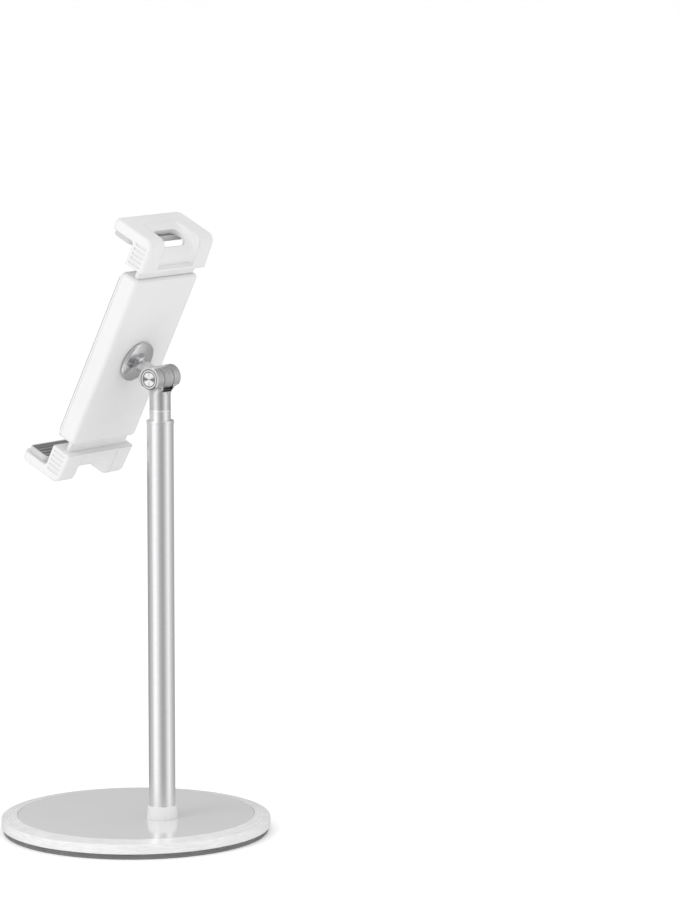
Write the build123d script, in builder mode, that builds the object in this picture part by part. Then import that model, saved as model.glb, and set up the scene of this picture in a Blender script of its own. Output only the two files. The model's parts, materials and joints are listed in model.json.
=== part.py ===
from build123d import *
import os
from math import acos, cos, pi, radians, sin, sqrt, tan

# Tablet stand: a weighted round base, a two-stage round mast, a tilting clevis head and a
# sprung holder with two jaws that a rack and pinion keep centred.
# Millimetres, +Z up, origin at the centre of the base's underside. The screen faces -Y.

os.makedirs("parts", exist_ok=True)

# Base
BASE_R = 84.2
BASE_WALL = 3.2
PAD_R = 83.0
PAD_H = 3.4
BOTTOM_PLATE_H = 1.2
RIM_SIDE_TOP = 9.4
RIM_EDGE_R = 1.1
TOP_Z = 10.8
PANEL_R = 74.2
PANEL_H = 1.3
LEDGE_R = 71.6
LEDGE_H = 0.9
GAP = 0.1
PAD_EDGE_R = 0.5
PAD_GROOVES = (76.0, 60.0, 30.0)
PAD_GROOVE_W = 2.0
PAD_GROOVE_H = 0.8
RIM_FOOT_R = 0.4
PANEL_CHAMFER = 0.25
BASE_SCREWS = 4
BASE_SCREW_PCD_R = 56.0
BASE_SCREW_R = 1.6
BASE_SCREW_HEAD_R = 2.9
BASE_SCREW_HEAD_H = 0.9
BASE_SCREW_BITE = 3.6
BASE_SCREW_SOCKET_R = 1.1
BASE_SCREW_SOCKET_H = 0.8
SCREW_HOLE_R = 2.0
SCREW_SINK_R = 3.2

# Mast
MAST_Y = 21.0
OUTER_R = 8.25
OUTER_BORE_R = 7.05
OUTER_TOP = 259.0
FOOT_FLANGE_H = 1.5
FOOT_TOP = 36.0
FERRULE_R = 9.65
FERRULE_TOP_R = 8.75
FERRULE_H = 8.2
COLLAR_R = 8.5
COLLAR_H = 2.0
INNER_R = 6.55
INNER_BORE_R = 5.35
INNER_TOP = 267.0
RUNNING = 0.05
BUSH_H = 15.0
BUSH_SPIGOT_H = 12.0
SLEEVE_H = 40.0
MAST_TRAVEL = 120.0
STOP_RING_H = 4.0
BOLT_R = 4.0
BOLT_L = 24.0
BOLT_HEAD_R = 6.5
BOLT_HEAD_H = 2.1
BOLT_SOCKET_R = 2.9
BOLT_SOCKET_H = 1.4
BOLT_WELL_R = 9.5
BOLT_WELL_H = 3.2
BOLT_WASHER_R = 9.0
FOOT_CHAMFER = 0.8
FOOT_THREAD_H = 20.0
FERRULE_STEP_H = 0.8
FERRULE_EDGE_R = 0.35
COLLAR_EDGE_R = 0.6
SLEEVE_SLIT = (0.8, 2.0)
BUSH_BORE_R = 3.2
BUSH_CHAMFER = 0.6
PIN_R = 1.0
PIN_BORE_R = 0.5
PIN_DROP = 9.0
PIN_INSET = 0.15

# Tilt head
HINGE_Z = 287.0
EAR_R = 7.7
YOKE_HALF = 11.0
SLOT_HALF = 4.8
SLOT_FLOOR = 279.0
FLARE_Z = 276.3
YOKE_PLUG_H = 15.0
HINGE_BOLT_R = 3.0
WASHER_H = 0.5
KNUCKLE_HALF = 4.25
CAP_R = 6.3
CAP_H = 1.0
INLAY_R = 4.8
INLAY_H = 0.5
CAP_EDGE_R = 0.35
HEAD_SEAT = 7.2
HEAD_R = 5.0
HEAD_H = 2.4
HEAD_SOCKET_R = 2.3
HEAD_SOCKET_H = 1.6
HEAD_PLAY = 0.2
FLARE_TOP = (12.5, 282.6)
FLARE_LIMIT = (14.0, 296.0)
WASHER_R = 7.45

# Swivel disc between hinge and holder, measured from the hinge axis along the disc's axis
TILT = 26.5
NECK_R = 4.1
NECK_END = 15.8
DISC_R = 13.5
DISC_EDGE = 1.3
DISC_H = 2.0
DISC_HUB_R = 5.2
DISC_HUB_H = 4.4
DISC_BULGE_R = 9.6
DISC_BULGE_H = 3.5
DISC_FACE = 20.9
HOLDER_OFFSET = 21.3
SPIGOT_R = 6.0
SPIGOT_TOP = 3.4
RETAINER_R = 8.5
RETAINER_H = 1.2
SWIVEL_WASHER_H = 1.1
SWIVEL_SCREW_R = 1.5
SWIVEL_SCREW_L = 12.0
SWIVEL_HEAD_R = 3.2
SWIVEL_HEAD_H = 1.3
SWIVEL_SOCKET_R = 1.3
SWIVEL_SOCKET_H = 0.9
DISC_RIM_STEP = 0.4
DISC_FACE_EDGE = 0.3

# Holder: X across, L along, T from its back face towards the screen
HOLDER_W = 62.0
HOLDER_L = 117.0
SHELL_T = 11.3
COVER_T = 2.0
WALL = 2.2
CORNER_R = 3.5
BACK_EDGE_R = 2.4
FRONT_EDGE_R = 1.2
FRONT_PAD_T = 0.8
FRONT_PAD_INSET = 2.5
FRONT_PAD_R = 4.0
FRONT_PAD_EDGE_R = 0.4
COVER_SCREW_X = 27.3
COVER_SCREW_L = 52.0
COVER_SCREW_R = 1.2
COVER_SCREW_BITE = 6.8
COVER_HEAD_R = 2.3
COVER_HEAD_H = 1.1
COVER_HEAD_SINK = 1.2
COLUMN_R = 2.4
COLUMN_BORE_H = 6.5

# Jaws, at their closed stop; a jaw is a wall at the holder's end and a plate over the screen
JAW_W = 63.4
JAW_START = 64.8
JAW_END = 86.2
JAW_BACK = -1.7
JAW_DRAFT = 1.2
JAW_WALL_FRONT = 12.3
JAW_FRONT = 32.0
PLATE_L = 79.6
PAD_L = 75.6
JAW_CORNER_R = 6.0
JAW_INNER_R = 2.5
PLATE_CORNER_R = 4.5
JAW_EDGE_R = 2.2

# Scoop in a jaw's back, as (L, T) points: the first three from JAW_END, the others from JAW_START
SCOOP_W = 35.0
SCOOP_EDGE_R = 3.5
SCOOP_MOUTH = (0.6, 22.0)
SCOOP_SHOULDER = (-2.9, 16.0)
SCOOP_FLOOR = (-7.6, 5.0)
SCOOP_FOOT = (3.2, 1.0)
SCOOP_LIP = (1.8, -2.7)
SCOOP_CLEAR = 12.0

# Finger window and the hollow behind it, open to the throat
WINDOW_W = 26.5
WINDOW_H = 12.2
WINDOW_R = 5.5
WINDOW_DROP = 5.5
WINDOW_T = 10.6
WINDOW_SLOPE = 23.23
WINDOW_REACH = 8.0
POCKET_W = 38.0
POCKET_START = 6.2
POCKET_T0 = 5.2
POCKET_KNEE = (11.2, 7.0)
POCKET_T1 = 9.6

# Grip ribs on both sides of a jaw, and the pad under its plate
PAD_SIDE = 1.8
PAD_LIP = 1.6
PAD_GAP = 0.2
RIB_START = 2.6
RIBS = 5
RIB_PITCH = 3.1
RIB_W = 1.3
RIB_L = 9.0
RIB_DEPTH = 0.35
RIB_MIDDLE = 5.9

# Jaw slides, rack and pinion
JAW_TRAVEL = 36.0
TONGUE_W = 49.0
SHOULDER_W = 54.0
SHOULDER_START = 56.5
TONGUE_T0 = 2.7
TONGUE_T1 = 5.7
TONGUE_INNER = 10.0
TENON = 3.6
SHELL_PLAY = 0.3
SPRING_SLOT_W = 3.0
SPRING_SLOT_END = 4.0
MODULE = 1.0
TEETH = 12
PITCH_R = MODULE * TEETH / 2
PRESSURE = radians(20)
BACKLASH = 0.2
RACK_T0 = 6.0
RACK_T1 = 9.3
RACK_ADDENDUM = 0.6
RACK_DEDENDUM = 1.25
RACK_BACK = 12.0
RACK_TEETH = 16
RACK_END = -44.0
RACK_JOINT = 20.0
PINION_T0 = 6.4
SEAT_OVERLAP = 0.2
RACK_JOINT_GAP = 2.0
PINION_T1 = 9.9
PINION_BOSS_R = 4.6
PINION_SINK_R = 3.6
PINION_SINK_H = 0.8
PINION_ROOT = 0.85
AXLE_R = 2.5
AXLE_FLANGE_R = 3.4
AXLE_FLANGE_T = 0.1
AXLE_FLANGE_H = 0.6
AXLE_TOP = 2.8
AXLE_SEAT = 2.6
SPRING_X = 20.0
SPRING_R = 1.9
SPRING_SKIN = 0.5
SPRING_POST_R = 1.2
SPRING_POST_GAP = 1.3
SPRING_T = 8.0
SPRING_POST_L = 14.0
SPRING_ANCHOR_L = 54.0

# How far a cut runs on past the piece
CUT = 20.0

# Planes and axes that the sizes above fix
tilt = radians(TILT)
forward = Vector(0, -cos(tilt), sin(tilt))
hinge = Vector(0, MAST_Y, HINGE_Z)
holder_origin = hinge + forward * HOLDER_OFFSET
mast_axis = Axis((0, MAST_Y, 0), (0, 0, 1))
mast_profile = Plane(origin=(0, MAST_Y, 0), x_dir=(1, 0, 0), z_dir=(0, -1, 0))
disc_axis = Axis(hinge, forward)
disc_profile = Plane(origin=hinge, x_dir=(1, 0, 0), z_dir=(0, -sin(tilt), -cos(tilt)))
holder = Plane(origin=holder_origin, x_dir=(1, 0, 0), z_dir=forward)
holder_turned = Plane(origin=holder_origin, x_dir=(-1, 0, 0), z_dir=forward)


def save(piece, name):
    """Label a finished piece and write its STEP file."""
    piece.part.label = name
    export_step(piece.part, f"parts/{name}.step")


def circles_of(piece, radius):
    """Circular edges of the given radius."""
    return piece.edges().filter_by(GeomType.CIRCLE).filter_by(lambda edge: abs(edge.radius - radius) < 0.01)


def side_of(plane):
    """Plane whose own x is the given plane's L, and whose own y is its T."""
    return Plane(origin=plane.origin, x_dir=plane.y_dir, z_dir=plane.x_dir)


def mast_plane(z):
    """Horizontal plane centred on the mast."""
    return Plane(origin=(0, MAST_Y, z))


def make_ring(name, outer_r, bore_r, z0, z1, edge_r=0.0):
    """Plain ring or tube about the mast axis."""
    with BuildPart() as ring:
        with BuildSketch(mast_plane(z0)):
            Circle(outer_r)
            Circle(bore_r, mode=Mode.SUBTRACT)
        extrude(amount=z1 - z0)
        if edge_r:
            fillet(ring.edges().group_by(Axis.Z)[-1].sort_by(SortBy.RADIUS)[-1], edge_r)
    save(ring, name)


# --- Base -------------------------------------------------------------------------------

plate_top = PAD_H + BOTTOM_PLATE_H
panel_bottom = TOP_Z - PANEL_H
ledge_bottom = panel_bottom - LEDGE_H
weight_r = BASE_R - BASE_WALL - GAP

with BuildPart() as base_rubber_pad:
    with BuildSketch():
        Circle(PAD_R)
    extrude(amount=PAD_H)
    fillet(base_rubber_pad.edges(), PAD_EDGE_R)
    with BuildSketch():
        for groove_r in PAD_GROOVES:
            Circle(groove_r)
            Circle(groove_r - PAD_GROOVE_W, mode=Mode.SUBTRACT)
    extrude(amount=PAD_GROOVE_H, mode=Mode.SUBTRACT)
save(base_rubber_pad, "base_rubber_pad")

with BuildPart() as base_bottom_plate:
    with BuildSketch(Plane.XY.offset(PAD_H)):
        Circle(weight_r)
    extrude(amount=BOTTOM_PLATE_H)
    with Locations(Plane.XY.offset(PAD_H).rotated((180, 0, 0))):
        with PolarLocations(BASE_SCREW_PCD_R, BASE_SCREWS, start_angle=45):
            CounterSinkHole(radius=SCREW_HOLE_R, counter_sink_radius=SCREW_SINK_R)
save(base_bottom_plate, "base_bottom_plate")

with BuildPart() as base_rim:
    with BuildSketch(Plane.XZ):
        with BuildLine():
            Polyline(
                (BASE_R - BASE_WALL, PAD_H),
                (BASE_R, PAD_H),
                (BASE_R, RIM_SIDE_TOP),
                (PANEL_R + GAP, TOP_Z),
                (PANEL_R + GAP, panel_bottom),
                (LEDGE_R, panel_bottom),
                (LEDGE_R, ledge_bottom),
                (BASE_R - BASE_WALL, ledge_bottom),
                close=True,
            )
        make_face()
    revolve(axis=Axis.Z)
    fillet(circles_of(base_rim, BASE_R).sort_by(Axis.Z)[-1], RIM_EDGE_R)
    fillet(circles_of(base_rim, BASE_R).sort_by(Axis.Z)[0], RIM_FOOT_R)
save(base_rim, "base_rim")

with BuildPart() as counterweight:
    with BuildSketch(Plane.XY.offset(plate_top)):
        Circle(weight_r)
    extrude(amount=ledge_bottom - GAP - plate_top)
    with BuildSketch(Plane.XY.offset(plate_top)):
        Circle(LEDGE_R - GAP)
    extrude(amount=panel_bottom - plate_top)
    with BuildSketch(mast_plane(plate_top)):
        Circle(BOLT_WELL_R)
    extrude(amount=BOLT_WELL_H, mode=Mode.SUBTRACT)
    with BuildSketch(mast_plane(plate_top)):
        Circle(BOLT_R)
    extrude(amount=TOP_Z, mode=Mode.SUBTRACT)
    with BuildSketch(Plane.XY.offset(plate_top)):
        with PolarLocations(BASE_SCREW_PCD_R, BASE_SCREWS, start_angle=45):
            Circle(BASE_SCREW_R)
    extrude(amount=BASE_SCREW_BITE + 0.4, mode=Mode.SUBTRACT)
save(counterweight, "counterweight")

with BuildPart() as base_top_panel:
    with BuildSketch(Plane.XY.offset(panel_bottom)):
        Circle(PANEL_R)
    extrude(amount=PANEL_H)
    chamfer(base_top_panel.edges().group_by(Axis.Z)[-1], PANEL_CHAMFER)
    with BuildSketch(mast_plane(panel_bottom)):
        Circle(BOLT_R)
    extrude(amount=PANEL_H, mode=Mode.SUBTRACT)
save(base_top_panel, "base_top_panel")

for number, spot in enumerate(PolarLocations(BASE_SCREW_PCD_R, BASE_SCREWS, start_angle=45)):
    with BuildPart() as base_screw:
        with BuildSketch(Plane((spot.position.X, spot.position.Y, PAD_H))):
            Circle(BASE_SCREW_R)
        extrude(amount=BOTTOM_PLATE_H + BASE_SCREW_BITE)
        with BuildSketch(Plane((spot.position.X, spot.position.Y, PAD_H))):
            Circle(BASE_SCREW_HEAD_R)
        extrude(amount=BASE_SCREW_HEAD_H, taper=45)
        with BuildSketch(Plane((spot.position.X, spot.position.Y, PAD_H))):
            RegularPolygon(BASE_SCREW_SOCKET_R, 6)
        extrude(amount=BASE_SCREW_SOCKET_H, mode=Mode.SUBTRACT)
    save(base_screw, f"base_screw_{number + 1}")

# --- Mast -------------------------------------------------------------------------------

bolt_head_z = plate_top + GAP
washer_z = bolt_head_z + BOLT_HEAD_H
foot_z = TOP_Z

with BuildPart() as mast_bolt:
    with BuildSketch(mast_plane(bolt_head_z)):
        Circle(BOLT_HEAD_R)
    extrude(amount=washer_z - bolt_head_z)
    with BuildSketch(mast_plane(bolt_head_z)):
        Circle(BOLT_R)
    extrude(amount=BOLT_L)
    with BuildSketch(mast_plane(bolt_head_z)):
        RegularPolygon(BOLT_SOCKET_R, 6)
    extrude(amount=BOLT_SOCKET_H, mode=Mode.SUBTRACT)
save(mast_bolt, "mast_bolt")

make_ring("mast_bolt_washer", BOLT_WASHER_R, BOLT_R, washer_z, plate_top + BOLT_WELL_H)

with BuildPart() as mast_foot:
    with BuildSketch(mast_plane(foot_z)):
        Circle(OUTER_R)
    extrude(amount=FOOT_FLANGE_H)
    with BuildSketch(mast_plane(foot_z)):
        Circle(OUTER_BORE_R)
    extrude(amount=FOOT_TOP - foot_z)
    chamfer(mast_foot.edges().group_by(Axis.Z)[-1], FOOT_CHAMFER)
    with BuildSketch(mast_plane(foot_z)):
        Circle(BOLT_R)
    extrude(amount=FOOT_THREAD_H, mode=Mode.SUBTRACT)
save(mast_foot, "mast_foot")

make_ring("mast_outer_tube", OUTER_R, OUTER_BORE_R, foot_z + FOOT_FLANGE_H, OUTER_TOP)

with BuildPart() as mast_ferrule:
    with BuildSketch(mast_profile):
        with BuildLine():
            Polyline(
                (OUTER_R, foot_z),
                (FERRULE_R, foot_z),
                (FERRULE_R, foot_z + FERRULE_STEP_H),
                (FERRULE_TOP_R, foot_z + FERRULE_H),
                (OUTER_R, foot_z + FERRULE_H),
                close=True,
            )
        make_face()
    revolve(axis=mast_axis)
    fillet(mast_ferrule.edges().group_by(Axis.Z)[-1].sort_by(SortBy.RADIUS)[-1], FERRULE_EDGE_R)
save(mast_ferrule, "mast_ferrule")

make_ring("mast_collar", COLLAR_R, INNER_R + RUNNING, OUTER_TOP, OUTER_TOP + COLLAR_H, COLLAR_EDGE_R)

bush_top = FOOT_TOP + BUSH_H
stop_z = bush_top + MAST_TRAVEL
make_ring("mast_stop_ring", OUTER_BORE_R, INNER_R + RUNNING, stop_z, stop_z + STOP_RING_H)

with BuildPart() as mast_friction_sleeve:
    with BuildSketch(mast_plane(OUTER_TOP - SLEEVE_H)):
        Circle(OUTER_BORE_R)
        Circle(INNER_R + RUNNING, mode=Mode.SUBTRACT)
        with Locations((0, -OUTER_BORE_R)):
            Rectangle(*SLEEVE_SLIT, mode=Mode.SUBTRACT)
    extrude(amount=SLEEVE_H)
save(mast_friction_sleeve, "mast_friction_sleeve")

with BuildPart() as mast_guide_bush:
    with BuildSketch(mast_plane(FOOT_TOP)):
        Circle(OUTER_BORE_R - RUNNING)
    extrude(amount=BUSH_H)
    with BuildSketch(mast_plane(bush_top)):
        Circle(INNER_BORE_R - RUNNING)
    extrude(amount=BUSH_SPIGOT_H)
    with BuildSketch(mast_plane(FOOT_TOP)):
        Circle(BUSH_BORE_R)
    extrude(amount=BUSH_H + BUSH_SPIGOT_H, mode=Mode.SUBTRACT)
    chamfer(mast_guide_bush.edges().group_by(Axis.Z)[0].sort_by(SortBy.RADIUS)[-1], BUSH_CHAMFER)
save(mast_guide_bush, "mast_guide_bush")

pin_z = INNER_TOP - PIN_DROP

with BuildPart() as mast_inner_tube:
    with BuildSketch(mast_plane(bush_top)):
        Circle(INNER_R)
        Circle(INNER_BORE_R, mode=Mode.SUBTRACT)
    extrude(amount=INNER_TOP - bush_top)
    with BuildSketch(Plane(origin=(0, MAST_Y, pin_z), z_dir=(1, 0, 0))):
        Circle(PIN_R)
    extrude(amount=CUT, both=True, mode=Mode.SUBTRACT)
save(mast_inner_tube, "mast_inner_tube")

with BuildPart() as yoke_pin:
    with BuildSketch(Plane(origin=(0, MAST_Y, pin_z), z_dir=(1, 0, 0))):
        Circle(PIN_R)
        Circle(PIN_BORE_R, mode=Mode.SUBTRACT)
    extrude(amount=INNER_R - PIN_INSET, both=True)
save(yoke_pin, "yoke_pin")

# --- Tilt head --------------------------------------------------------------------------

with BuildPart() as yoke:
    with BuildSketch(Plane.YZ):
        with Locations((MAST_Y, HINGE_Z)):
            Circle(EAR_R)
        with Locations((MAST_Y, (INNER_TOP + HINGE_Z) / 2)):
            Rectangle(2 * INNER_R, HINGE_Z - INNER_TOP)
    extrude(amount=YOKE_HALF, both=True)
    with BuildSketch(mast_profile):
        with BuildLine():
            stem = Polyline((0, INNER_TOP), (INNER_R, INNER_TOP), (INNER_R, FLARE_Z))
            flare = TangentArc(stem @ 1, FLARE_TOP, tangent=(0, 1))
            Polyline(
                flare @ 1,
                (FLARE_LIMIT[0], HINGE_Z),
                FLARE_LIMIT,
                (0, FLARE_LIMIT[1]),
                stem @ 0,
            )
        make_face()
    revolve(axis=mast_axis, mode=Mode.INTERSECT)
    with BuildSketch(mast_plane(INNER_TOP - YOKE_PLUG_H)):
        Circle(INNER_BORE_R)
    extrude(amount=YOKE_PLUG_H)
    with BuildSketch(Plane(origin=(0, MAST_Y, SLOT_FLOOR))):
        Rectangle(2 * SLOT_HALF, 4 * EAR_R)
    extrude(amount=CUT, mode=Mode.SUBTRACT)
    for side in (-1, 1):
        face_of_ear = Plane(origin=(side * YOKE_HALF, MAST_Y, HINGE_Z), z_dir=(-side, 0, 0))
        with BuildSketch(face_of_ear):
            Circle(CAP_R)
        extrude(amount=CAP_H + GAP, mode=Mode.SUBTRACT)
        with BuildSketch(face_of_ear):
            Circle(HEAD_R + HEAD_PLAY)
        extrude(amount=YOKE_HALF - HEAD_SEAT, mode=Mode.SUBTRACT)
    with BuildSketch(Plane(origin=hinge, z_dir=(1, 0, 0))):
        Circle(HINGE_BOLT_R)
    extrude(amount=YOKE_HALF, both=True, mode=Mode.SUBTRACT)
    with BuildSketch(Plane(origin=(0, MAST_Y, pin_z), z_dir=(1, 0, 0))):
        Circle(PIN_R)
    extrude(amount=CUT, both=True, mode=Mode.SUBTRACT)
save(yoke, "yoke")

with BuildPart() as hinge_bolt:
    with BuildSketch(Plane(origin=(HEAD_SEAT, MAST_Y, HINGE_Z), z_dir=(1, 0, 0))):
        Circle(HEAD_R)
    extrude(amount=HEAD_H)
    with BuildSketch(Plane(origin=(HEAD_SEAT, MAST_Y, HINGE_Z), z_dir=(-1, 0, 0))):
        Circle(HINGE_BOLT_R)
    extrude(amount=2 * HEAD_SEAT + HEAD_H - GAP)
    with BuildSketch(Plane(origin=(HEAD_SEAT + HEAD_H, MAST_Y, HINGE_Z), z_dir=(-1, 0, 0))):
        RegularPolygon(HEAD_SOCKET_R, 6)
    extrude(amount=HEAD_SOCKET_H, mode=Mode.SUBTRACT)
save(hinge_bolt, "hinge_bolt")

with BuildPart() as hinge_nut:
    with BuildSketch(Plane(origin=(-HEAD_SEAT, MAST_Y, HINGE_Z), z_dir=(-1, 0, 0))):
        RegularPolygon(HEAD_R, 6)
        Circle(HINGE_BOLT_R, mode=Mode.SUBTRACT)
    extrude(amount=HEAD_H)
save(hinge_nut, "hinge_nut")

for side, word in ((1, "right"), (-1, "left")):
    with BuildPart() as friction_washer:
        with BuildSketch(Plane(origin=(side * (SLOT_HALF - WASHER_H), MAST_Y, HINGE_Z), z_dir=(side, 0, 0))):
            Circle(WASHER_R)
            Circle(HINGE_BOLT_R, mode=Mode.SUBTRACT)
        extrude(amount=WASHER_H)
    save(friction_washer, f"hinge_washer_{word}")

    cap_floor = Plane(origin=(side * (YOKE_HALF - CAP_H - GAP), MAST_Y, HINGE_Z), z_dir=(side, 0, 0))
    with BuildPart() as hinge_cap:
        with BuildSketch(cap_floor):
            Circle(CAP_R - RUNNING)
        extrude(amount=CAP_H)
        fillet(hinge_cap.faces().sort_by(Axis.X)[-1 if side > 0 else 0].edges(), CAP_EDGE_R)
        with BuildSketch(cap_floor.offset(CAP_H)):
            Circle(INLAY_R)
        extrude(amount=-INLAY_H, mode=Mode.SUBTRACT)
    save(hinge_cap, f"hinge_cap_{word}")

    with BuildPart() as hinge_inlay:
        with BuildSketch(cap_floor.offset(CAP_H - INLAY_H)):
            Circle(INLAY_R)
        extrude(amount=INLAY_H - GAP)
    save(hinge_inlay, f"hinge_inlay_{word}")

with BuildPart() as swivel_arm:
    with BuildSketch(Plane(origin=hinge, z_dir=(1, 0, 0))):
        Circle(EAR_R)
    extrude(amount=KNUCKLE_HALF, both=True)
    with BuildSketch(disc_profile):
        with BuildLine():
            neck = Line((NECK_R, 0), (NECK_R, NECK_END))
            hub = Line(neck @ 1, (DISC_HUB_R, DISC_FACE - DISC_HUB_H))
            bulge = (DISC_BULGE_R, DISC_FACE - DISC_BULGE_H)
            back = ThreePointArc(hub @ 1, bulge, (DISC_R - DISC_RIM_STEP, DISC_FACE - DISC_H))
            Polyline(
                back @ 1,
                (DISC_R, DISC_FACE - DISC_EDGE),
                (DISC_R, DISC_FACE - DISC_FACE_EDGE),
                (DISC_R - DISC_FACE_EDGE, DISC_FACE),
                (SPIGOT_R - RUNNING, DISC_FACE),
                (SPIGOT_R - RUNNING, HOLDER_OFFSET + SPIGOT_TOP),
                (0, HOLDER_OFFSET + SPIGOT_TOP),
                (0, 0),
                neck @ 0,
            )
        make_face()
    revolve(axis=disc_axis)
    with BuildSketch(Plane(origin=hinge, z_dir=(1, 0, 0))):
        Circle(HINGE_BOLT_R + RUNNING)
    extrude(amount=YOKE_HALF, both=True, mode=Mode.SUBTRACT)
    with BuildSketch(holder.offset(SPIGOT_TOP)):
        Circle(SWIVEL_SCREW_R)
    extrude(amount=-SWIVEL_SCREW_L, mode=Mode.SUBTRACT)
save(swivel_arm, "swivel_arm")

with BuildPart() as swivel_washer:
    with BuildSketch(holder.offset(WALL + GAP)):
        Circle(RETAINER_R)
        Circle(SPIGOT_R, mode=Mode.SUBTRACT)
    extrude(amount=SWIVEL_WASHER_H)
save(swivel_washer, "swivel_washer")

with BuildPart() as swivel_retainer:
    with BuildSketch(holder.offset(SPIGOT_TOP)):
        Circle(RETAINER_R)
        Circle(SWIVEL_SCREW_R, mode=Mode.SUBTRACT)
    extrude(amount=RETAINER_H)
save(swivel_retainer, "swivel_retainer")

swivel_head = holder.offset(SPIGOT_TOP + RETAINER_H)
with BuildPart() as swivel_screw:
    with BuildSketch(swivel_head):
        Circle(SWIVEL_HEAD_R)
    extrude(amount=SWIVEL_HEAD_H)
    with BuildSketch(swivel_head):
        Circle(SWIVEL_SCREW_R)
    extrude(amount=-SWIVEL_SCREW_L)
    with BuildSketch(swivel_head.offset(SWIVEL_HEAD_H)):
        RegularPolygon(SWIVEL_SOCKET_R, 6)
    extrude(amount=-SWIVEL_SOCKET_H, mode=Mode.SUBTRACT)
save(swivel_screw, "swivel_screw")

# --- Holder -----------------------------------------------------------------------------

inner_w = HOLDER_W - 2 * WALL
inner_l = HOLDER_L - 2 * WALL
screw_rows = (-COVER_SCREW_L, 0, COVER_SCREW_L)
cover_screws = [(x, along) for x in (-COVER_SCREW_X, COVER_SCREW_X) for along in screw_rows]
spring_anchors = [(-SPRING_X, -SPRING_ANCHOR_L), (SPRING_X, SPRING_ANCHOR_L)]

with BuildPart() as holder_back_shell:
    with BuildSketch(holder):
        RectangleRounded(HOLDER_W, HOLDER_L, CORNER_R)
    extrude(amount=SHELL_T)
    fillet(holder_back_shell.faces().sort_by(disc_axis)[0].edges(), BACK_EDGE_R)
    with BuildSketch(holder.offset(WALL)):
        RectangleRounded(inner_w, inner_l, CORNER_R - WALL / 2)
    extrude(amount=SHELL_T, mode=Mode.SUBTRACT)
    with BuildSketch(holder.offset(WALL)):
        with Locations(*cover_screws):
            Circle(COLUMN_R)
    extrude(amount=SHELL_T - WALL)
    with BuildSketch(holder.offset(WALL)):
        with Locations(*spring_anchors):
            Circle(SPRING_POST_R)
    extrude(amount=SPRING_T + SPRING_R - WALL)
    with BuildSketch(holder.offset(SHELL_T)):
        with Locations(*cover_screws):
            Circle(COVER_SCREW_R)
    extrude(amount=-COLUMN_BORE_H, mode=Mode.SUBTRACT)
    with BuildSketch(holder.offset(TONGUE_T0 - SHELL_PLAY)):
        Rectangle(SHOULDER_W + 2 * SHELL_PLAY, HOLDER_L + CUT)
        Rectangle(SHOULDER_W + 2 * SHELL_PLAY, inner_l, mode=Mode.SUBTRACT)
    extrude(amount=TONGUE_T1 - TONGUE_T0 + 2 * SHELL_PLAY, mode=Mode.SUBTRACT)
    with BuildSketch(holder):
        Circle(SPIGOT_R)
    extrude(amount=WALL, mode=Mode.SUBTRACT)
save(holder_back_shell, "holder_back_shell")

cover_front = SHELL_T + COVER_T
with BuildPart() as holder_front_cover:
    with BuildSketch(holder.offset(SHELL_T)):
        RectangleRounded(HOLDER_W, HOLDER_L, CORNER_R)
    extrude(amount=COVER_T)
    fillet(holder_front_cover.faces().sort_by(disc_axis)[-1].edges(), FRONT_EDGE_R)
    with BuildSketch(holder.offset(PINION_T1 + SEAT_OVERLAP)):
        Circle(PINION_BOSS_R)
    extrude(amount=SHELL_T - PINION_T1 - SEAT_OVERLAP)
    with BuildSketch(holder.offset(PINION_T1 + SEAT_OVERLAP)):
        Circle(AXLE_R)
    extrude(amount=AXLE_SEAT, mode=Mode.SUBTRACT)
    with BuildSketch(holder.offset(SHELL_T)):
        with Locations(*cover_screws):
            Circle(COVER_SCREW_R)
    extrude(amount=COVER_T, mode=Mode.SUBTRACT)
    with BuildSketch(holder.offset(cover_front)):
        with Locations(*cover_screws):
            Circle(COVER_HEAD_R)
    extrude(amount=-COVER_HEAD_SINK, mode=Mode.SUBTRACT)
save(holder_front_cover, "holder_front_cover")

for number, spot in enumerate(cover_screws):
    with BuildPart() as cover_screw:
        with BuildSketch(holder.offset(cover_front - COVER_HEAD_SINK)):
            with Locations(spot):
                Circle(COVER_HEAD_R)
        extrude(amount=COVER_HEAD_H)
        with BuildSketch(holder.offset(cover_front - COVER_HEAD_SINK)):
            with Locations(spot):
                Circle(COVER_SCREW_R)
        extrude(amount=-COVER_SCREW_BITE)
    save(cover_screw, f"cover_screw_{number + 1}")

with BuildPart() as holder_front_pad:
    with BuildSketch(holder.offset(cover_front)):
        RectangleRounded(HOLDER_W - 2 * FRONT_PAD_INSET, HOLDER_L - 2 * FRONT_PAD_INSET, FRONT_PAD_R)
    extrude(amount=FRONT_PAD_T)
    fillet(holder_front_pad.faces().sort_by(disc_axis)[-1].edges(), FRONT_PAD_EDGE_R)
save(holder_front_pad, "holder_front_pad")

# --- Pinion -----------------------------------------------------------------------------

base_circle_r = PITCH_R * cos(PRESSURE)
tip_r = PITCH_R + MODULE
root_r = PITCH_R - PINION_ROOT * MODULE
half_tooth = (pi * MODULE / 2 - BACKLASH) / 2


def involute(angle):
    """Involute function of a pressure angle."""
    return tan(angle) - angle


def flank(radius):
    """Point of a tooth's upper flank at the given radius, for a tooth along +X."""
    angle = half_tooth / PITCH_R + involute(PRESSURE) - involute(acos(base_circle_r / radius))
    return (radius * cos(angle), radius * sin(angle))


flank_points = [flank(base_circle_r + (tip_r - base_circle_r) * step / 4) for step in range(5)]
root_point = (root_r - SEAT_OVERLAP, flank_points[0][1] * 0.9)
upper_flank = [root_point] + flank_points
lower_flank = [(x, -y) for x, y in reversed(upper_flank)]

with BuildSketch() as tooth:
    with BuildLine():
        Polyline(*upper_flank, *lower_flank, close=True)
    make_face()

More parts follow.
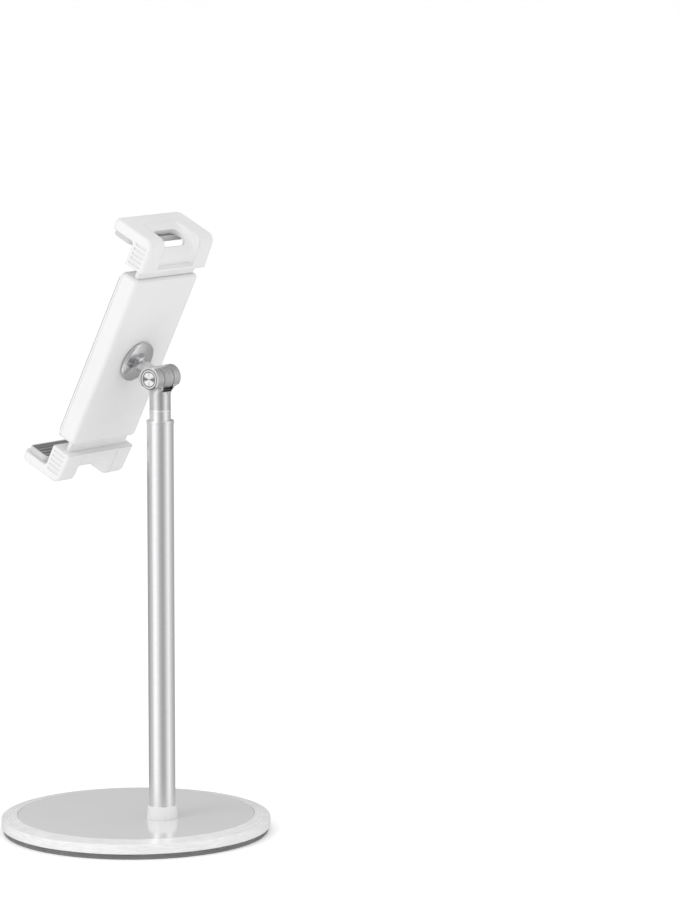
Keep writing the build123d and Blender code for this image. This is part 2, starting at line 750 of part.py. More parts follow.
with BuildPart() as pinion:
    with BuildSketch(holder.offset(PINION_T0)):
        Circle(root_r)
        with PolarLocations(0, TEETH):
            add(tooth.sketch)
        Circle(AXLE_R + RUNNING, mode=Mode.SUBTRACT)
    extrude(amount=PINION_T1 - PINION_T0)
    with BuildSketch(holder.offset(PINION_T0)):
        Circle(PINION_SINK_R)
    extrude(amount=PINION_SINK_H, mode=Mode.SUBTRACT)
save(pinion, "pinion")

with BuildPart() as pinion_axle:
    with BuildSketch(holder.offset(PINION_T0 + AXLE_FLANGE_T)):
        Circle(AXLE_FLANGE_R)
    extrude(amount=AXLE_FLANGE_H)
    with BuildSketch(holder.offset(PINION_T0 + AXLE_FLANGE_T + AXLE_FLANGE_H)):
        Circle(AXLE_R)
    extrude(amount=PINION_T1 + AXLE_TOP - PINION_T0 - AXLE_FLANGE_T - AXLE_FLANGE_H)
save(pinion_axle, "pinion_axle")

# --- Jaws and their slides --------------------------------------------------------------

rack_tip_x = PITCH_R - RACK_ADDENDUM
rack_root_x = PITCH_R + RACK_DEDENDUM
tip_half = half_tooth - RACK_ADDENDUM * tan(PRESSURE)
root_half = half_tooth + RACK_DEDENDUM * tan(PRESSURE)
tooth_rows = [(row + 0.5) * pi * MODULE for row in range(2 - RACK_TEETH, 2)]


def make_slider(plane, name):
    """Tongue plate with its rack, in the holder's own X, L, T."""
    with BuildPart() as slider:
        with BuildSketch(plane.offset(TONGUE_T0)):
            with Locations((0, (TONGUE_INNER + JAW_START + TENON) / 2)):
                Rectangle(TONGUE_W, JAW_START + TENON - TONGUE_INNER)
            with Locations((0, (SHOULDER_START + JAW_START) / 2)):
                Rectangle(SHOULDER_W, JAW_START - SHOULDER_START)
            with Locations((SPRING_X, SPRING_ANCHOR_L - JAW_TRAVEL / 2)):
                SlotOverall(JAW_TRAVEL + SPRING_SLOT_END, SPRING_SLOT_W, rotation=90, mode=Mode.SUBTRACT)
        extrude(amount=TONGUE_T1 - TONGUE_T0)
        with BuildSketch(plane.offset(RACK_T0)):
            with Locations(((rack_root_x + RACK_BACK) / 2, (RACK_END + RACK_JOINT) / 2)):
                Rectangle(RACK_BACK - rack_root_x, RACK_JOINT - RACK_END)
            for row in tooth_rows:
                with BuildLine():
                    Polyline(
                        (rack_root_x + SEAT_OVERLAP, row - root_half),
                        (rack_root_x, row - root_half),
                        (rack_tip_x, row - tip_half),
                        (rack_tip_x, row + tip_half),
                        (rack_root_x, row + root_half),
                        (rack_root_x + SEAT_OVERLAP, row + root_half),
                        close=True,
                    )
                make_face()
        extrude(amount=RACK_T1 - RACK_T0)
        with BuildSketch(plane.offset(TONGUE_T1)):
            with Locations(((rack_root_x + RACK_BACK) / 2, (TONGUE_INNER + RACK_JOINT_GAP + RACK_JOINT) / 2)):
                Rectangle(RACK_BACK - rack_root_x, RACK_JOINT - TONGUE_INNER - RACK_JOINT_GAP)
        extrude(amount=RACK_T0 - TONGUE_T1)
        with BuildSketch(plane.offset(TONGUE_T1)):
            with Locations((-SPRING_X, SPRING_POST_L)):
                Circle(SPRING_POST_R)
        extrude(amount=SPRING_T + SPRING_R - TONGUE_T1)
    save(slider, name)


def is_outer_edge(spot):
    """Whether an edge of a jaw with its middle at this (L, T, X) lies on the jaw's outer outline."""
    on_side = abs(abs(spot.Z) - JAW_W / 2) < 0.01 and spot.Y < JAW_CORNER_R / 2 and spot.X > JAW_START + 1
    on_plate = abs(spot.X - JAW_END) < 0.01 and spot.Y > JAW_WALL_FRONT
    return on_side or on_plate


def make_scoop(side):
    """Dish that the scoop takes out of a jaw, from the plate, round the corner, to the wall's foot."""
    with BuildPart() as scoop:
        with BuildSketch(side):
            with BuildLine():
                floor = Spline(
                    (JAW_END + SCOOP_MOUTH[0], SCOOP_MOUTH[1]),
                    (JAW_END + SCOOP_SHOULDER[0], SCOOP_SHOULDER[1]),
                    (JAW_END + SCOOP_FLOOR[0], SCOOP_FLOOR[1]),
                    (JAW_START + SCOOP_FOOT[0], SCOOP_FOOT[1]),
                )
                Polyline(
                    floor @ 1,
                    (JAW_START + SCOOP_LIP[0], SCOOP_LIP[1]),
                    (JAW_START + SCOOP_LIP[0], -SCOOP_CLEAR),
                    (JAW_END + SCOOP_CLEAR, -SCOOP_CLEAR),
                    (JAW_END + SCOOP_CLEAR, SCOOP_MOUTH[1]),
                    floor @ 0,
                )
            make_face()
        extrude(amount=SCOOP_W / 2, both=True)
        ends = scoop.faces().filter_by(Axis(side.origin, side.z_dir))
        deep = ends.edges().filter_by(GeomType.BSPLINE)
        fillet(deep, SCOOP_EDGE_R)
    return scoop.part


def make_jaw(plane, name):
    """Hooked jaw with its finger window, scoop and grip ribs."""
    side = side_of(plane)
    across = Axis(plane.origin, plane.x_dir)
    along = Axis(plane.origin, plane.y_dir)
    scoop = make_scoop(side)
    with BuildPart() as jaw:
        with BuildSketch(side):
            with BuildLine():
                Polyline(
                    (JAW_START, JAW_BACK),
                    (JAW_END, JAW_BACK + JAW_DRAFT),
                    (JAW_END, JAW_FRONT),
                    (PLATE_L, JAW_FRONT),
                    (PLATE_L, JAW_WALL_FRONT),
                    (JAW_START, JAW_WALL_FRONT),
                    close=True,
                )
            make_face()
        extrude(amount=JAW_W / 2, both=True)
        outer_corner = side.from_local_coords((JAW_END, JAW_BACK + JAW_DRAFT, 0))
        fillet(jaw.edges().filter_by(across).sort_by_distance(outer_corner)[0], JAW_CORNER_R)
        inner_corner = side.from_local_coords((PLATE_L, JAW_WALL_FRONT, 0))
        fillet(jaw.edges().filter_by(across).sort_by_distance(inner_corner)[0], JAW_INNER_R)
        fillet(jaw.edges().filter_by(along).sort_by(Axis(plane.origin, plane.z_dir))[-2:], PLATE_CORNER_R)

        # soft edge round the outside, from the foot of one side over the plate to the other
        outside = [edge for edge in jaw.edges() if is_outer_edge(side.to_local_coords(edge.center()))]
        fillet(outside, JAW_EDGE_R)
        add(scoop, mode=Mode.SUBTRACT)

        # finger window through the floor of the scoop
        window_origin = side.from_local_coords((JAW_END - WINDOW_DROP, WINDOW_T, 0))
        inward = plane.z_dir * sin(radians(WINDOW_SLOPE)) - plane.y_dir * cos(radians(WINDOW_SLOPE))
        with BuildSketch(Plane(origin=window_origin, x_dir=plane.x_dir, z_dir=inward)):
            RectangleRounded(WINDOW_W, WINDOW_H, WINDOW_R)
        extrude(amount=WINDOW_REACH, both=True, mode=Mode.SUBTRACT)

        # hollow behind the window, open to the throat
        with BuildSketch(side):
            with BuildLine():
                Polyline(
                    (JAW_START + POCKET_START, POCKET_T0),
                    (JAW_START + POCKET_KNEE[0], POCKET_KNEE[1]),
                    (PLATE_L, POCKET_T1),
                    (PLATE_L, JAW_WALL_FRONT + 1),
                    (JAW_START + POCKET_START, JAW_WALL_FRONT + 1),
                    close=True,
                )
            make_face()
        extrude(amount=POCKET_W / 2, both=True, mode=Mode.SUBTRACT)

        # grip ribs on both sides of the wall
        for hand in (-1, 1):
            with BuildSketch(side.offset(hand * JAW_W / 2)):
                with Locations((JAW_START + RIB_START + RIB_PITCH * (RIBS - 1) / 2, RIB_MIDDLE)):
                    with GridLocations(RIB_PITCH, 0, RIBS, 1):
                        RectangleRounded(RIB_W, RIB_L, RIB_W / 2 - 0.05)
            extrude(amount=-hand * RIB_DEPTH, mode=Mode.SUBTRACT)

        # socket for the tongue
        with BuildSketch(plane.offset(TONGUE_T0)):
            with Locations((0, JAW_START + TENON / 2)):
                Rectangle(TONGUE_W, TENON)
        extrude(amount=TONGUE_T1 - TONGUE_T0, mode=Mode.SUBTRACT)
    save(jaw, name)


def make_jaw_pad(plane, name):
    """Grip pad under the plate of a jaw."""
    with BuildPart() as jaw_pad:
        with BuildSketch(side_of(plane)):
            with BuildLine():
                Polyline(
                    (PLATE_L, JAW_WALL_FRONT + JAW_INNER_R + PAD_GAP),
                    (PLATE_L, JAW_FRONT - PAD_LIP),
                    (PAD_L, JAW_FRONT - PAD_LIP),
                    (PAD_L, JAW_WALL_FRONT + JAW_INNER_R + PAD_GAP),
                    close=True,
                )
            make_face()
        extrude(amount=JAW_W / 2 - PAD_SIDE, both=True)
    save(jaw_pad, name)


def make_spring(plane, name):
    """Closing spring as the sleeve that its coils fill, from the shell's post to the slide's."""
    start = -SPRING_ANCHOR_L + SPRING_POST_GAP
    side = side_of(plane)
    centre = plane.from_local_coords((-SPRING_X, start, SPRING_T))
    with BuildPart() as spring:
        with BuildSketch(Plane(origin=centre, x_dir=plane.x_dir, z_dir=side.x_dir)):
            Circle(SPRING_R)
            Circle(SPRING_R - SPRING_SKIN, mode=Mode.SUBTRACT)
        extrude(amount=SPRING_POST_L - SPRING_POST_GAP - start)
    save(spring, name)


for plane, word in ((holder, "top"), (holder_turned, "bottom")):
    make_slider(plane, f"{word}_slider")
    make_jaw(plane, f"{word}_jaw")
    make_jaw_pad(plane, f"{word}_jaw_pad")
    make_spring(plane, f"{word}_jaw_spring")
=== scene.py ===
import json
from math import cos, pi, radians, sin

import bmesh
import bpy
from mathutils import Matrix, Vector


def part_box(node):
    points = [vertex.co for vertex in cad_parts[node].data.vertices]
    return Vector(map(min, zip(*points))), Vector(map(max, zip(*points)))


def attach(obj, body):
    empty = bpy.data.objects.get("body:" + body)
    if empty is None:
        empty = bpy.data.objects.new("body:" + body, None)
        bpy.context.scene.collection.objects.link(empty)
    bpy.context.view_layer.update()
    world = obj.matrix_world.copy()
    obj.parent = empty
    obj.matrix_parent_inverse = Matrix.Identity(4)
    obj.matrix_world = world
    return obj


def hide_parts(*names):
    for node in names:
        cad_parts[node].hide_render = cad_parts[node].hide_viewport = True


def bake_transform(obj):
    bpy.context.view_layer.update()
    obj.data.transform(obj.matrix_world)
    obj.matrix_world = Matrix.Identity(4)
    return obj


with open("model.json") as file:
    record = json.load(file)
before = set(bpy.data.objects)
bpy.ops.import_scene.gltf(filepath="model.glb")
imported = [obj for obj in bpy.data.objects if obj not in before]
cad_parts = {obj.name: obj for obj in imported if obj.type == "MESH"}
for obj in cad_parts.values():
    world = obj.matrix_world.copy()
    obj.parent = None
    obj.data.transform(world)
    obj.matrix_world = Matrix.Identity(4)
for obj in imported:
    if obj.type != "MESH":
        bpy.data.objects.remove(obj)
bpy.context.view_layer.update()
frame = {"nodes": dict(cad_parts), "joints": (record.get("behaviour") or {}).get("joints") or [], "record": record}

nodes = frame["nodes"]
joints = {joint["name"]: joint for joint in frame["joints"]}

# --- Camera, as the stand is seen from behind and to its right ----------------------------

VIEW_ANGLE = radians(53.8)
VIEW_PITCH = radians(7.8)
VIEW_DISTANCE = 2.789
VIEW_ASIDE = 0.1275
VIEW_HEIGHT = 0.238
LENS_MM = 178.4


def add_camera():
    """Long lens, aimed beside the stand, which keeps to the left of the picture."""
    right = Vector((-cos(VIEW_ANGLE), sin(VIEW_ANGLE), 0))
    level = cos(VIEW_PITCH)
    toward_camera = Vector((sin(VIEW_ANGLE) * level, cos(VIEW_ANGLE) * level, sin(VIEW_PITCH)))
    target = right * VIEW_ASIDE + Vector((0, 0, VIEW_HEIGHT))
    data = bpy.data.cameras.new("camera")
    data.lens = LENS_MM
    data.clip_start = 0.05
    data.clip_end = 100
    camera = bpy.data.objects.new("camera", data)
    camera.location = target + toward_camera * VIEW_DISTANCE
    camera.rotation_euler = toward_camera.to_track_quat("Z", "Y").to_euler()
    bpy.context.scene.collection.objects.link(camera)
    bpy.context.scene.camera = camera


# --- Studio -------------------------------------------------------------------------------

# Brightness that metal mirrors, as (degrees to the right of the camera, brightness)
BANDS = (
    (-180, 0.36), (-130, 0.42), (-95, 0.62), (-72, 0.95), (-50, 1.35), (-30, 1.02), (-8, 0.58),
    (14, 0.40), (32, 0.52), (50, 0.88), (70, 1.18), (92, 0.75), (125, 0.50), (180, 0.36),
)
FLOOR_HALF = 20.0
FLOOR_GLOW = 0.16
ROOM_LEVEL = 0.90

# Softboxes: name, degrees to the right of the camera, elevation, distance, size and power
SOFTBOXES = (
    ("key_light", -48, 34, 1.6, 0.8, 5.0),
    ("fill_light", 70, 25, 1.8, 1.4, 0.7),
    ("top_light", 10, 82, 1.6, 1.6, 1.0),
)


def set_world():
    """Even white room, with soft bands round the compass in what metal mirrors."""
    world = bpy.data.worlds.new("studio")
    bpy.context.scene.world = world
    bpy.context.scene.view_settings.view_transform = "Standard"
    world.use_nodes = True
    tree = world.node_tree
    background = tree.nodes["Background"]
    coords = tree.nodes.new("ShaderNodeTexCoord")
    turned = tree.nodes.new("ShaderNodeVectorRotate")
    turned.rotation_type = "Z_AXIS"
    turned.inputs["Angle"].default_value = VIEW_ANGLE
    tree.links.new(coords.outputs["Generated"], turned.inputs["Vector"])
    split = tree.nodes.new("ShaderNodeSeparateXYZ")
    tree.links.new(turned.outputs["Vector"], split.inputs["Vector"])
    left = tree.nodes.new("ShaderNodeMath")
    left.operation = "MULTIPLY"
    left.inputs[1].default_value = -1
    tree.links.new(split.outputs["X"], left.inputs[0])
    angle = tree.nodes.new("ShaderNodeMath")
    angle.operation = "ARCTAN2"
    tree.links.new(left.outputs["Value"], angle.inputs[0])
    tree.links.new(split.outputs["Y"], angle.inputs[1])
    place = tree.nodes.new("ShaderNodeMapRange")
    place.inputs["From Min"].default_value = -pi
    place.inputs["From Max"].default_value = pi
    tree.links.new(angle.outputs["Value"], place.inputs["Value"])
    stops = [((degrees + 180) / 360, level) for degrees, level in BANDS]
    mirrored = ramp(tree, place.outputs["Result"], stops, "EASE")
    rays = tree.nodes.new("ShaderNodeLightPath")
    choice = tree.nodes.new("ShaderNodeMix")
    choice.data_type = "RGBA"
    choice.inputs["A"].default_value = (ROOM_LEVEL, ROOM_LEVEL, ROOM_LEVEL, 1)
    tree.links.new(rays.outputs["Is Glossy Ray"], choice.inputs["Factor"])
    tree.links.new(mirrored, choice.inputs["B"])
    tree.links.new(choice.outputs["Result"], background.inputs["Color"])


def add_softbox(name, angle_from_camera, elevation, distance, size, power):
    """Square area light that looks at the middle of the stand."""
    heading = VIEW_ANGLE - radians(angle_from_camera)
    rise = radians(elevation)
    away = Vector((sin(heading) * cos(rise), cos(heading) * cos(rise), sin(rise)))
    data = bpy.data.lights.new(name, "AREA")
    data.size = size
    data.energy = power
    light = bpy.data.objects.new(name, data)
    light.location = Vector((0, 0, VIEW_HEIGHT)) + away * distance
    light.rotation_euler = away.to_track_quat("Z", "Y").to_euler()
    bpy.context.scene.collection.objects.link(light)


def add_floor():
    """Plain pale floor with a faint glow, which metal doesn't mirror."""
    mesh = bpy.data.meshes.new("floor")
    signs = ((-1, -1), (1, -1), (1, 1), (-1, 1))
    corners = [(across * FLOOR_HALF, along * FLOOR_HALF, 0) for across, along in signs]
    mesh.from_pydata(corners, [], [(0, 1, 2, 3)])
    floor = bpy.data.objects.new("floor", mesh)
    bpy.context.scene.collection.objects.link(floor)
    floor.visible_glossy = False
    mesh.materials.append(new_material(
        "floor", (0.95, 0.95, 0.95), roughness=0.9, Emission_Color=(1, 1, 1, 1), Emission_Strength=FLOOR_GLOW
    )[0])


# --- Material building blocks ---------------------------------------------------------------


def new_material(name, color, metallic=0.0, roughness=0.5, **sockets):
    """Material with its Principled shader; further sockets are given by name, with _ for a space."""
    material = bpy.data.materials.new(name)
    material.use_nodes = True
    shader = material.node_tree.nodes["Principled BSDF"]
    shader.inputs["Base Color"].default_value = (*color, 1)
    shader.inputs["Metallic"].default_value = metallic
    shader.inputs["Roughness"].default_value = roughness
    for socket, value in sockets.items():
        shader.inputs[socket.replace("_", " ")].default_value = value
    return material, material.node_tree, shader


def coordinates(tree, centre=(0, 0, 0), turn=(0, 0, 0)):
    """Position in metres, from centre, and turned."""
    source = tree.nodes.new("ShaderNodeTexCoord").outputs["Object"]
    moved = tree.nodes.new("ShaderNodeVectorMath")
    moved.operation = "SUBTRACT"
    moved.inputs[1].default_value = centre
    tree.links.new(source, moved.inputs[0])
    turned = tree.nodes.new("ShaderNodeMapping")
    turned.inputs["Rotation"].default_value = turn
    tree.links.new(moved.outputs["Vector"], turned.inputs["Vector"])
    return turned.outputs["Vector"]


def noise(tree, vector, scale, detail=2.0, roughness=0.5):
    """Fractal noise over the given coordinates."""
    texture = tree.nodes.new("ShaderNodeTexNoise")
    texture.inputs["Scale"].default_value = scale
    texture.inputs["Detail"].default_value = detail
    texture.inputs["Roughness"].default_value = roughness
    tree.links.new(vector, texture.inputs["Vector"])
    return texture.outputs["Fac"]


def spread(tree, value, low, high, from_low=0.3, from_high=0.7):
    """The value, moved from its usual span to low..high."""
    mapped = tree.nodes.new("ShaderNodeMapRange")
    mapped.inputs["From Min"].default_value = from_low
    mapped.inputs["From Max"].default_value = from_high
    mapped.inputs["To Min"].default_value = low
    mapped.inputs["To Max"].default_value = high
    tree.links.new(value, mapped.inputs["Value"])
    return mapped.outputs["Result"]


def tint(tree, shader, value, dark, light):
    """Base colour that runs from dark to light with the value."""
    mix = tree.nodes.new("ShaderNodeMix")
    mix.data_type = "RGBA"
    mix.inputs["A"].default_value = (*dark, 1)
    mix.inputs["B"].default_value = (*light, 1)
    tree.links.new(value, mix.inputs["Factor"])
    tree.links.new(mix.outputs["Result"], shader.inputs["Base Color"])


def relief(tree, shader, heights, edge=0.0):
    """Bump from (height, strength, distance) layers, over edges rounded to the given radius."""
    normal = None
    if edge:
        rounded = tree.nodes.new("ShaderNodeBevel")
        rounded.samples = 4
        rounded.inputs["Radius"].default_value = edge
        normal = rounded.outputs["Normal"]
    for height, strength, distance in heights:
        bump = tree.nodes.new("ShaderNodeBump")
        bump.inputs["Strength"].default_value = strength
        bump.inputs["Distance"].default_value = distance
        tree.links.new(height, bump.inputs["Height"])
        if normal:
            tree.links.new(normal, bump.inputs["Normal"])
        normal = bump.outputs["Normal"]
    tree.links.new(normal, shader.inputs["Normal"])


def round_coordinates(tree, centre, axis_turn):
    """(distance from an axis, place along it, angle round it) as separate values, in metres and radians."""
    flat = coordinates(tree, centre, axis_turn)
    split = tree.nodes.new("ShaderNodeSeparateXYZ")
    tree.links.new(flat, split.inputs["Vector"])
    squares = []
    for name in ("X", "Y"):
        square = tree.nodes.new("ShaderNodeMath")
        square.operation = "MULTIPLY"
        tree.links.new(split.outputs[name], square.inputs[0])
        tree.links.new(split.outputs[name], square.inputs[1])
        squares.append(square.outputs["Value"])
    total = tree.nodes.new("ShaderNodeMath")
    total.operation = "ADD"
    tree.links.new(squares[0], total.inputs[0])
    tree.links.new(squares[1], total.inputs[1])
    radius = tree.nodes.new("ShaderNodeMath")
    radius.operation = "SQRT"
    tree.links.new(total.outputs["Value"], radius.inputs[0])
    angle = tree.nodes.new("ShaderNodeMath")
    angle.operation = "ARCTAN2"
    tree.links.new(split.outputs["Y"], angle.inputs[0])
    tree.links.new(split.outputs["X"], angle.inputs[1])
    return radius.outputs["Value"], split.outputs["Z"], angle.outputs["Value"]


def combined(tree, *values):
    """Vector of up to three values."""
    joined = tree.nodes.new("ShaderNodeCombineXYZ")
    for value, name in zip(values, ("X", "Y", "Z")):
        tree.links.new(value, joined.inputs[name])
    return joined.outputs["Vector"]


def scaled(tree, value, factor):
    """The value times a factor."""
    product = tree.nodes.new("ShaderNodeMath")
    product.operation = "MULTIPLY"
    product.inputs[1].default_value = factor
    tree.links.new(value, product.inputs[0])
    return product.outputs["Value"]


# --- Materials --------------------------------------------------------------------------------


def moulded_plastic(name, light, dark, roughness=0.42, edge=0.0004):
    """White moulded plastic with a fine spark-eroded grain."""
    material, tree, shader = new_material(name, light, roughness=roughness)
    fine = noise(tree, coordinates(tree), 2600, detail=3)
    broad = noise(tree, coordinates(tree), 38, detail=2)
    tint(tree, shader, spread(tree, broad, 0, 1), dark, light)
    tree.links.new(spread(tree, fine, roughness - 0.05, roughness + 0.08), shader.inputs["Roughness"])
    relief(tree, shader, [(fine, 0.10, 0.0001)], edge=edge)
    return material


def drawn_aluminium(name, color, roughness, mast_centre):
    """Satin anodised tube with fine lines round it from turning and faint drawn lines along it."""
    material, tree, shader = new_material(name, color, metallic=1.0, roughness=roughness)
    _, along, angle = round_coordinates(tree, mast_centre, (0, 0, 0))
    rings = noise(tree, combined(tree, scaled(tree, along, 3000), scaled(tree, angle, 1.5)), 1.0, detail=2)
    lines = noise(tree, combined(tree, scaled(tree, along, 12), scaled(tree, angle, 90)), 1.0, detail=2)
    tree.links.new(spread(tree, lines, roughness - 0.04, roughness + 0.06), shader.inputs["Roughness"])
    tint(tree, shader, spread(tree, rings, 0, 1), tuple(0.93 * c for c in color), color)
    relief(tree, shader, [(rings, 0.05, 0.00004), (lines, 0.03, 0.00004)], edge=0.0003)
    return material


def turned_aluminium(name, color, roughness, centre, axis_turn, metallic=1.0):
    """Satin aluminium with turning lines round an axis."""
    material, tree, shader = new_material(name, color, metallic=metallic, roughness=roughness)
    radius, along, angle = round_coordinates(tree, centre, axis_turn)
    lathe = combined(tree, scaled(tree, radius, 3500), scaled(tree, along, 3500), angle)
    rings = noise(tree, lathe, 1.0, detail=3)
    broad = noise(tree, coordinates(tree), 120, detail=2)
    tree.links.new(spread(tree, rings, roughness - 0.06, roughness + 0.08), shader.inputs["Roughness"])
    tint(tree, shader, spread(tree, broad, 0, 1), tuple(0.9 * c for c in color), color)
    relief(tree, shader, [(rings, 0.16, 0.00006)], edge=0.0004)
    return material


def ramp(tree, value, stops, interpolation="LINEAR"):
    """Grey that follows the value through (place, level) stops."""
    node = tree.nodes.new("ShaderNodeValToRGB")
    node.color_ramp.interpolation = interpolation
    elements = node.color_ramp.elements
    while len(elements) < len(stops):
        elements.new(0.5)
    for element, (place, level) in zip(elements, stops):
        element.position = place
        element.color = (level, level, level, 1)
    tree.links.new(value, node.inputs["Fac"])
    return node.outputs["Color"]


def times(tree, first, second):
    """Product of two greys."""
    node = tree.nodes.new("ShaderNodeMath")
    node.operation = "MULTIPLY"
    tree.links.new(first, node.inputs[0])
    tree.links.new(second, node.inputs[1])
    return node.outputs["Value"]


# Painted shades of the hinge caps: sectors of painted highlight round the disc by share of a turn, and rings
# outwards by share of CHROME_SPAN
CHROME_HIGHLIGHT_WEDGES = (
    (0.0, 0.50), (0.03, 0.95), (0.16, 0.95), (0.22, 0.22), (0.28, 0.22),
    (0.34, 0.95), (0.47, 0.95), (0.50, 0.50), (0.53, 0.95), (0.66, 0.95),
    (0.72, 0.22), (0.78, 0.22), (0.84, 0.95), (0.97, 0.95), (1.0, 0.50),
)
CHROME_SPAN = 0.0064
CHROME_DISC_R = 0.0043
CHROME_DISC_EDGE = 0.0001
CHROME_RINGS = (
    (0.0, 0.7), (0.05, 1.0), (0.66, 1.0), (0.69, 0.10), (0.74, 0.12),
    (0.78, 0.75), (0.88, 0.85), (0.92, 0.10), (1.0, 0.12),
)


def spun_chrome(name, centre):
    """Cap spun in circles about the hinge axis, with painted reflections as bright and dark sectors by angle, and
    its rings painted on.
    """
    material, tree, shader = new_material(name, (0.86, 0.86, 0.87), metallic=0.85, roughness=0.3)
    radius, _, angle = round_coordinates(tree, centre, (0, pi / 2, 0))
    rings = noise(tree, combined(tree, scaled(tree, radius, 9000)), 1.0, detail=2)
    turn = spread(tree, angle, 0, 1, -pi, pi)
    # painted highlight: bright and dark sectors by angle round the hinge axis stand in for the cap's reflections
    # and stay put from any view
    painted_highlight_wedges = ramp(tree, turn, CHROME_HIGHLIGHT_WEDGES)
    steps = ramp(tree, scaled(tree, radius, 1 / CHROME_SPAN), CHROME_RINGS)
    disc = spread(tree, radius, 1, 0, CHROME_DISC_R - CHROME_DISC_EDGE, CHROME_DISC_R)
    shade = tree.nodes.new("ShaderNodeMix")
    shade.data_type = "RGBA"
    tree.links.new(disc, shade.inputs["Factor"])
    tree.links.new(steps, shade.inputs["A"])
    tree.links.new(times(tree, steps, painted_highlight_wedges), shade.inputs["B"])
    grain = tree.nodes.new("ShaderNodeMix")
    grain.data_type = "RGBA"
    grain.blend_type = "MULTIPLY"
    grain.inputs["Factor"].default_value = 1.0
    tree.links.new(shade.outputs["Result"], grain.inputs["A"])
    tree.links.new(ramp(tree, rings, ((0.3, 0.86), (0.7, 1.0))), grain.inputs["B"])
    tree.links.new(grain.outputs["Result"], shader.inputs["Base Color"])
    relief(tree, shader, [(rings, 0.12, 0.00003)])
    return material


def brushed_enamel(name):
    """White enamelled rim, brushed round the base."""
    material, tree, shader = new_material(
        name, (0.86, 0.86, 0.86), roughness=0.34, Coat_Weight=0.25, Coat_Roughness=0.2
    )
    radius, along, angle = round_coordinates(tree, (0, 0, 0), (0, 0, 0))
    brush = combined(tree, scaled(tree, radius, 1500), scaled(tree, along, 1500), scaled(tree, angle, 14))
    streaks = noise(tree, brush, 1.0, detail=3)
    tint(tree, shader, spread(tree, streaks, 0, 1), (0.74, 0.74, 0.74), (0.88, 0.88, 0.88))
    tree.links.new(spread(tree, streaks, 0.28, 0.44), shader.inputs["Roughness"])
    relief(tree, shader, [(streaks, 0.12, 0.00005)], edge=0.0004)
    return material


def gloss_panel(name):
    """Polished light grey top with the faintest orange peel and polishing haze."""
    material, tree, shader = new_material(
        name, (0.72, 0.72, 0.72), roughness=0.08, Coat_Weight=0.6, Coat_Roughness=0.03
    )
    peel = noise(tree, coordinates(tree), 260, detail=1)
    haze = noise(tree, coordinates(tree), 24, detail=4)
    tint(tree, shader, spread(tree, haze, 0, 1), (0.77, 0.77, 0.77), (0.795, 0.795, 0.795))
    tree.links.new(spread(tree, haze, 0.06, 0.11), shader.inputs["Roughness"])
    relief(tree, shader, [(peel, 0.015, 0.0001)], edge=0.0002)
    return material


def soft_rubber(name, light, dark, grain=1800):
    """Matt rubber or silicone with a fine pebbled skin."""
    material, tree, shader = new_material(name, light, roughness=0.72, Sheen_Weight=0.15, Sheen_Roughness=0.5)
    pebbles = noise(tree, coordinates(tree), grain, detail=3, roughness=0.6)
    broad = noise(tree, coordinates(tree), 60, detail=2)
    tint(tree, shader, spread(tree, broad, 0, 1), dark, light)
    tree.links.new(spread(tree, pebbles, 0.62, 0.82), shader.inputs["Roughness"])
    relief(tree, shader, [(pebbles, 0.25, 0.00012)], edge=0.0004)
    return material


def plated_steel(name, color, roughness=0.3):
    """Plated steel fasteners and hidden plates."""
    material, tree, shader = new_material(name, color, metallic=1.0, roughness=roughness)
    cloud = noise(tree, coordinates(tree), 400, detail=4)
    tint(tree, shader, spread(tree, cloud, 0, 1), tuple(0.82 * c for c in color), color)
    tree.links.new(spread(tree, cloud, roughness - 0.06, roughness + 0.12), shader.inputs["Roughness"])
    relief(tree, shader, [(cloud, 0.08, 0.0001)], edge=0.0003)
    return material


def cast_iron(name):
    """Grey cast counterweight with a sandy skin."""
    material, tree, shader = new_material(name, (0.12, 0.12, 0.125), metallic=0.7, roughness=0.65)
    sand = noise(tree, coordinates(tree), 900, detail=5, roughness=0.65)
    tint(tree, shader, spread(tree, sand, 0, 1), (0.07, 0.07, 0.075), (0.16, 0.16, 0.165))
    relief(tree, shader, [(sand, 0.4, 0.0003)])
    return material


# The rim's sloping top: least upward share of a face's normal, and the radius it starts at
BEVEL_UPWARD = 0.93
BEVEL_INNER_R = 0.0745


def polish_bevel(rim):
    """Give the sloping top of the base's rim a polished finish of its own."""
    bevel = turned_aluminium("rim_bevel", (0.97, 0.97, 0.97), 0.22, (0, 0, 0), (0, 0, 0), metallic=0.15)
    rim.data.materials.append(bevel)
    for polygon in rim.data.polygons:
        if polygon.normal.z > BEVEL_UPWARD and polygon.center.xy.length > BEVEL_INNER_R:
            polygon.material_index = 1


